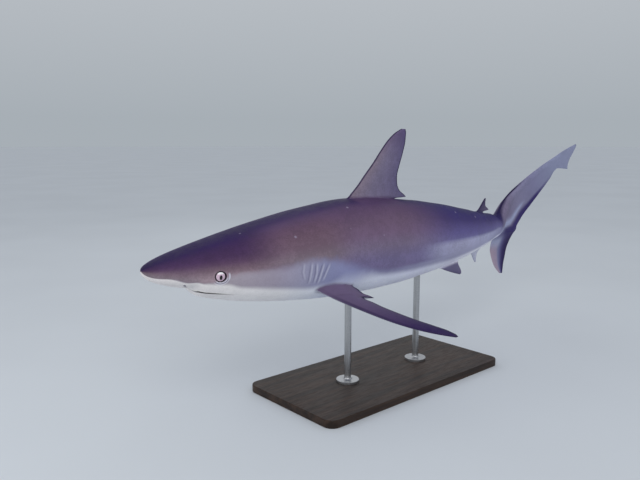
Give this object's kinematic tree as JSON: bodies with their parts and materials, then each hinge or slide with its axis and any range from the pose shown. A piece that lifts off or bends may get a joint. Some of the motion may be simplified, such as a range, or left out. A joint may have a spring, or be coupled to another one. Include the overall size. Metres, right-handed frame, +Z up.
{
  "type": "reef shark",
  "caption": "Life-size still model of a grey-brown reef shark in a gently bent swimming pose, held over a flat base by short rods.",
  "frame": {"origin": "centre of the underside of the stand's base, on the floor", "axes": "+Z up; the head points along -X and the tail along +X; the animal's left side faces -Y"},
  "size_m": [1.9347, 0.6824, 0.7559],
  "materials": {
    "skin": "shark skin, satin: grey-brown back, bluish white belly, dusky fin edges",
    "eye": "clear gloss over a pale iris and a black upright pupil",
    "stand_wood": "dark stained and satin lacquered",
    "stand_steel": "brushed"
  },
  "bodies": {
    "root": {"head": "skin", "lower_jaw": "skin", "gill_region": "skin", "trunk_front": "skin", "trunk_rear": "skin", "tail_stalk": "skin", "caudal_upper_lobe": "skin", "caudal_lower_lobe": "skin", "dorsal_fin_first": "skin", "dorsal_fin_second": "skin", "anal_fin": "skin", "pectoral_fin_left": "skin", "pectoral_fin_right": "skin", "pelvic_fin_left": "skin", "pelvic_fin_right": "skin", "eye_left": "eye", "eye_right": "eye", "stand_base": "stand_wood", "stand_rod_front": "stand_steel", "stand_rod_rear": "stand_steel"}
  },
  "joints": []
}
